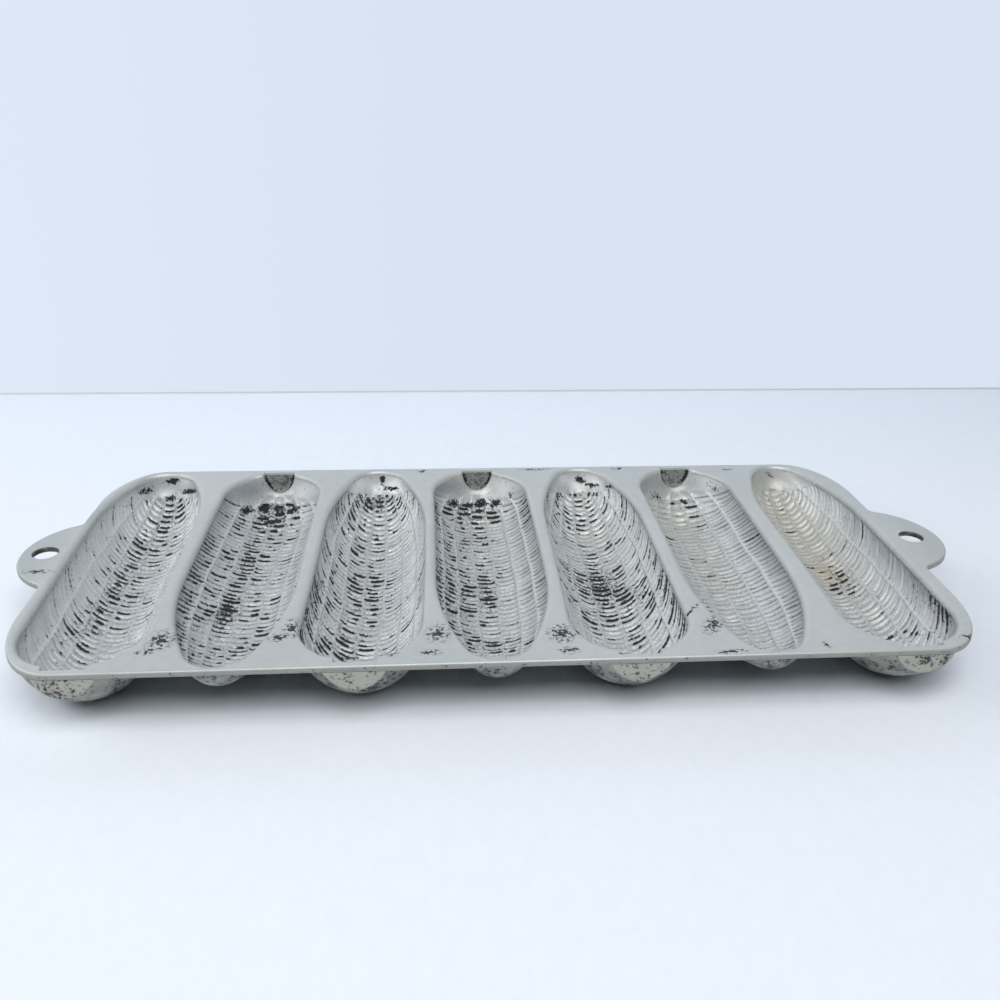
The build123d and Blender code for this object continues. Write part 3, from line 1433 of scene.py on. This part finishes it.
    def build(self) -> list[bpy.types.Object]:
        """Builds the cup and its stem's socket.

        Returns:
            The finished pieces.
        """
        c = self.row.casting
        bm = bmesh.new()
        for slot, mesh in enumerate((self._inside(), self._outside())):
            before = len(bm.faces)
            bm.from_mesh(mesh)
            bpy.data.meshes.remove(mesh)
            bm.faces.ensure_lookup_table()
            for face in bm.faces[before:]:
                face.material_index = slot
                face.smooth = True
        bmesh.ops.bisect_plane(
            bm, geom=[*bm.verts, *bm.edges, *bm.faces], dist=WELD, plane_co=(0, 0, c.underside),
            plane_no=(0, 0, 1), clear_outer=True, clear_inner=False,
        )
        close_flat(bm, [edge for edge in bm.edges if edge.is_boundary], 1)
        bmesh.ops.recalc_face_normals(bm, faces=bm.faces)
        socket = cut_off(bm, (0, self.way * self.cob.shape.stem_y, 0), (0, -self.way, 0), 1)
        finishes, number = [self.hollow, self.shell], self.index + 1
        return [
            bake_piece(f"cob_cup_{number}", bm, finishes, f"stick_cup_{number}"),
            bake_piece(f"cob_stem_{number}", socket, finishes, f"stem_socket_{number}"),
        ]


@dataclass(frozen=True)
class Studio:
    """Pale table and board behind it, soft lamps and the camera, in metres."""

    table: Colour = (0.79, 0.84, 0.905)
    table_shade: float = 0.94
    table_y: float = -1.0
    table_width: float = 4.0
    stage_length: float = 6.0
    wall: Colour = (0.72, 0.785, 0.90)
    wall_tone: Colour = (0.70, 0.765, 0.885)
    # lighter tone painted on the board's left
    wall_left: Colour = (0.77, 0.84, 0.965)
    wall_y: float = 0.24
    wall_height: float = 0.42
    wall_gap: float = 0.0008
    camera_at: Point3 = (-0.02556, -0.29456, 0.17655)
    pitch: float = 24.867
    yaw: float = -5.036
    roll: float = 1.265
    lens_px: float = 930.0
    frame_px: float = 1000.0
    sensor_mm: float = 36.0
    nearest: float = 0.01
    room: Colour = (0.95, 0.98, 1.0)
    room_light: float = 0.05

    def build(self) -> None:
        """Builds the stage, the lamps, the world and the camera."""
        table_at = Matrix.Translation((0, self.table_y, 0))
        self._plane("table", (self.stage_length, self.table_width), table_at, self._table_finish())
        upright = Matrix.Rotation(RIGHT_ANGLE, 4, "X")
        wall_at = Matrix.Translation((0, self.wall_y, self.wall_height / 2 + self.wall_gap))
        self._plane("wall", (self.stage_length, self.wall_height), wall_at @ upright, self._board_finish())
        self._lights()
        self._camera()

    def _plane(self, name: str, sides: Point2, move: Matrix, finish: bpy.types.Material) -> None:
        """Adds one plain stage plane.

        Args:
            name: its name.
            sides: its sides.
            move: its place.
            finish: its material.
        """
        bm = bmesh.new()
        bmesh.ops.create_grid(bm, x_segments=1, y_segments=1, size=0.5)
        bmesh.ops.scale(bm, vec=(*sides, 1), verts=bm.verts)
        bmesh.ops.transform(bm, matrix=move, verts=bm.verts)
        mesh = bpy.data.meshes.new(name)
        bm.to_mesh(mesh)
        bm.free()
        mesh.materials.append(finish)
        plane = bpy.data.objects.new(name, mesh)
        bpy.context.collection.objects.link(plane)

    def _table_finish(self) -> bpy.types.Material:
        """Material of the table, matt and very faintly mottled."""
        finish = Finish("table")
        mottle = finish.noise(0.25, 5.0, 0.7, (1.0, 0.5, 1.0)).above(0.4, 0.75)
        colour = finish.blend(mottle * 0.5, self.table, tuple(self.table_shade * part for part in self.table))
        matt = finish.node("BsdfDiffuse", None, {"Color": colour})
        self._one_sided(finish, matt)
        return finish.material

    def _one_sided(self, finish: Finish, surface: Wire) -> None:
        """Ends a stage material with a surface that is clear from its back, so that it hides nothing.

        Args:
            finish: the material.
            surface: how its front looks.
        """
        behind = finish.node("NewGeometry", output="Backfacing")
        clear = finish.node("BsdfTransparent")
        shown = finish.node("MixShader", None, {0: behind, 1: surface, 2: clear})
        finish.node("OutputMaterial", None, {"Surface": shown})

    def _board_finish(self) -> bpy.types.Material:
        """Material of the board, which shows a pale tone, painted lighter towards the left, and still passes
        light on as a matt board does.
        """
        finish = Finish("board")
        matt = finish.node("BsdfDiffuse", None, {"Color": (*self.wall, 1.0)})
        across = finish.node("SeparateXYZ", None, {0: finish.place()}, output="X")
        # painted light: the board's shown tone grows lighter towards the left
        tone = finish.blend((0.0 - across).above(0.02, 0.42), self.wall_tone, self.wall_left)
        shown = finish.node("Emission", None, {"Color": tone, "Strength": 1.0})
        camera, glossy = (finish.node("LightPath", output=f"Is {ray} Ray") for ray in ("Camera", "Glossy"))
        seen = camera.most(glossy)
        self._one_sided(finish, finish.node("MixShader", None, {0: seen, 1: matt, 2: shown}))
        return finish.material

    def _lamp(self, name: str, at: Point3, size: Point2, watts: float, aim: Point3 = (0.0, 0.0, 0.0)) -> None:
        """Adds one soft rectangular lamp.

        Args:
            name: its name.
            at: where it hangs.
            size: its sides.
            watts: its power.
            aim: the point that it faces.
        """
        lamp = bpy.data.lights.new(name, "AREA")
        lamp.shape = "RECTANGLE"
        lamp.size, lamp.size_y = size
        lamp.energy = watts
        holder = bpy.data.objects.new(name, lamp)
        holder.location = at
        holder.rotation_euler = (Vector(aim) - Vector(at)).to_track_quat("-Z", "Y").to_euler()
        bpy.context.collection.objects.link(holder)

    def _lights(self) -> None:
        """Adds the lamps and an even, pale world."""
        self._lamp("front", (-0.05, -0.66, 0.89), (1.2, 0.4), 6.6)
        self._lamp("ceiling", (0.08, -0.34, 0.99), (0.7, 0.45), 4.0)
        self._lamp("window", (-0.95, -0.02, 0.66), (0.8, 0.6), 4.4)
        world = bpy.data.worlds.new("room")
        world.use_nodes = True
        background = world.node_tree.nodes["Background"]
        background.inputs["Color"].default_value = (*self.room, 1.0)
        background.inputs["Strength"].default_value = self.room_light
        bpy.context.scene.world = world

    def _camera(self) -> None:
        """Adds the camera at the photograph's place."""
        pitch, yaw, roll = (math.radians(a) for a in (self.pitch, self.yaw, self.roll))
        turn = Matrix.Rotation(yaw, 3, "Z")
        right = turn @ Vector((1, 0, 0))
        ahead = turn @ Vector((0, math.cos(pitch), -math.sin(pitch)))
        up = turn @ Vector((0, math.sin(pitch), math.cos(pitch)))
        rolled_right = math.cos(roll) * right + math.sin(roll) * up
        rolled_up = -math.sin(roll) * right + math.cos(roll) * up
        basis = Matrix((rolled_right, rolled_up, -ahead)).transposed()
        camera = bpy.data.cameras.new("camera")
        camera.sensor_width = self.sensor_mm
        camera.sensor_fit = "HORIZONTAL"
        camera.lens = self.lens_px * self.sensor_mm / self.frame_px
        camera.clip_start = self.nearest
        holder = bpy.data.objects.new("camera", camera)
        holder.matrix_world = Matrix.Translation(self.camera_at) @ basis.to_4x4()
        bpy.context.collection.objects.link(holder)
        bpy.context.scene.camera = holder
        bpy.context.scene.view_settings.view_transform = "Standard"


BLUNT = CobShape()

SLIM = replace(BLUNT, nose=10.7)

COBS = (
    Cob(
        replace(BLUNT, taper=43.0, nose=13.0), Drift(1.6, -0.6, -1.5), 0.5,
        (
            Stain(-121, 20, 6, 22, 0.55), Stain(-124, -25, 7, 24, 0.6), Stain(-128, -50, 6, 9, 0.4),
            Stain(-136, 42, 6, 10, 0.35), Stain(-150, -20, 7, 50, 0.2),
        ),
        (),
        (
            Stain(-127, 62, 3.0, 4.0, 1.1), Stain(-118, 51, 3.5, 3.0, 1.0), Stain(-135, 52, 4.0, 5.0, 0.7),
            Stain(-124, 45, 3, 4, 0.8),
        ),
        (Stain(-121, 63, 4, 5, 1.0), Stain(-138, 58, 7, 9, -0.5)),
        (Stain(-145, 0, 13, 50, 0.75), Stain(-140, 45, 8, 12, 0.5)),
    ),
    Cob(
        SLIM, Drift(0.6, -0.3, 0.9), 0.72,
        (
            Stain(-81, 28, 11, 14, 0.8), Stain(-86, -12, 6, 26, 0.5), Stain(-87, -42, 5, 8, 0.9),
            Stain(-101, -25, 6, 34, 0.4),
            Stain(-100, -58, 8, 8, 0.4), Stain(-78, -62, 7, 3, 0.6), Stain(-68, 0, 6, 40, -0.4),
        ),
        (),
        (
            Stain(-86.2, 34.5, 2.4, 4.0, 1.2), Stain(-92.5, 33, 3.0, 4.5, 0.9),
            Stain(-80.5, 33, 2.4, 4.0, 0.95),
            Stain(-74.5, 33, 3.0, 5.0, 0.8), Stain(-82, 22, 4, 3, 0.9),
        ),
        (Stain(-71, 54, 7, 10, 1.0), Stain(-94, 51, 8, 10, -0.8)),
    ),
    Cob(
        replace(BLUNT, taper=50.0, nose=11.4), Drift(-1.8, 0.0, 0.0), 0.68,
        (
            Stain(-44, 38, 10, 9, 0.9), Stain(-50, 5, 7, 18, 0.25), Stain(-46, -35, 7, 26, 0.35),
            Stain(-61, -42, 6, 24, 0.45),
            Stain(-52, -62, 8, 8, 0.4), Stain(-31, -8, 5, 40, -0.6),
        ),
        (Stain(-48, -40, 6, 30, 0.16),),
        (Stain(-42, 60, 1.3, 6.0, 1.0), Stain(-38, 51, 4.0, 3.0, 0.9), Stain(-47, -68, 4, 1.2, 0.7)),
        (Stain(-51, 57, 4.5, 8, 0.9), Stain(-37, 60, 4.5, 7, 1.0), Stain(-36, 50, 3, 3, 0.8)),
    ),
    Cob(
        SLIM, Drift(-2.4, -1.1, -1.2), 0.6,
        (
            Stain(-6, 28, 13, 9, 0.75), Stain(-8, 10, 8, 12, 0.35), Stain(-15, -38, 6, 24, 0.55),
            Stain(-5, -33, 4, 13, 0.8),
            Stain(-3, -64, 10, 4, 0.5), Stain(7, -15, 5, 34, -0.6), Stain(-22, -20, 4, 36, 0.35),
        ),
        (Stain(-2, 0, 14, 60, 0.12),),
        (
            Stain(-13.6, 36, 2.6, 4.5, 0.95), Stain(-8, 34, 2.4, 3.5, 0.95), Stain(-2.6, 37, 2.6, 4.5, 0.9),
            Stain(3.3, 36, 2.6, 4.5, 0.95), Stain(9.5, 43, 2.0, 4.0, 0.65),
        ),
        (Stain(8, 55, 7, 10, 1.0), Stain(0, 42, 2, 8, 0.5), Stain(-16, 52, 7, 9, -0.8)),
    ),
    Cob(
        replace(BLUNT, taper=47.0, nose=11.9), Drift(-3.0, -1.2, -0.6), 0.6,
        (
            Stain(32, 22, 8, 13, 0.35), Stain(33, -30, 8, 15, 0.85), Stain(44, -38, 7, 9, 0.4),
            Stain(55, -30, 6, 32, 0.35),
            Stain(40, 45, 8, 8, 0.4),
        ),
        (Stain(38, 0, 14, 60, 0.15),),
        (Stain(40, 58, 2.2, 4.0, 1.0), Stain(44, 52, 3.5, 3.0, 0.9), Stain(51, 50, 1.8, 2.5, 0.8)),
        (Stain(34, 59, 4, 7, 0.9), Stain(46, 60, 4.5, 7, 1.0)),
    ),
    Cob(
        SLIM, Drift(-3.3, -0.8, -0.3), 0.3,
        (Stain(77, 32, 6, 9, 0.35), Stain(73, -20, 6, 30, 0.1), Stain(97, -20, 5, 40, 0.2)),
        (Stain(72, 0, 8, 60, 0.3),),
        (Stain(68, 40, 3, 6, 0.55), Stain(78, 36, 3, 6, 0.5), Stain(94, 48, 3, 8, 0.55)),
        (Stain(95, 54, 6, 9, 0.9), Stain(73, 52, 7, 9, -0.6), Stain(98, -10, 4, 50, -0.4)),
    ),
    Cob(
        replace(BLUNT, taper=46.0, nose=12.4), Drift(-0.6, 1.2, 0.7), 0.34,
        (Stain(116, -30, 6, 15, 0.6), Stain(143, -50, 6, 16, 0.7), Stain(124, -64, 12, 4, 0.4)),
        (Stain(115, 10, 14, 55, 0.5), Stain(112, -26, 5, 9, 0.6)),
        (Stain(122, 60, 1.6, 5.0, 0.6),),
        (Stain(142, -30, 8, 45, -0.7), Stain(132, 62, 5, 6, 0.5)),
    ),
)


@dataclass
class CornStickPan:
    """The whole pan: deck with ears and seven cups laid head to tail."""

    row: Row = field(default_factory=lambda: Row(Casting(), COBS))
    kernels: Kernels = field(default_factory=Kernels)

    def build(self) -> None:
        """Builds every piece of the pan."""
        hollow, shell = HollowPlating().material(), CastShell().material()
        DeckPlate(self.row, DeckPlating().material(), hollow).build()
        for index in range(self.row.casting.cup_count):
            CobCup(self.row, index, self.kernels, hollow, shell).build()


def main() -> None:
    """Builds the stage, the lights, the camera and the pan."""
    logging.basicConfig(level=logging.INFO, format="%(name)s: %(message)s")
    Studio().build()
    CornStickPan().build()


if __name__ == "__main__":
    main()
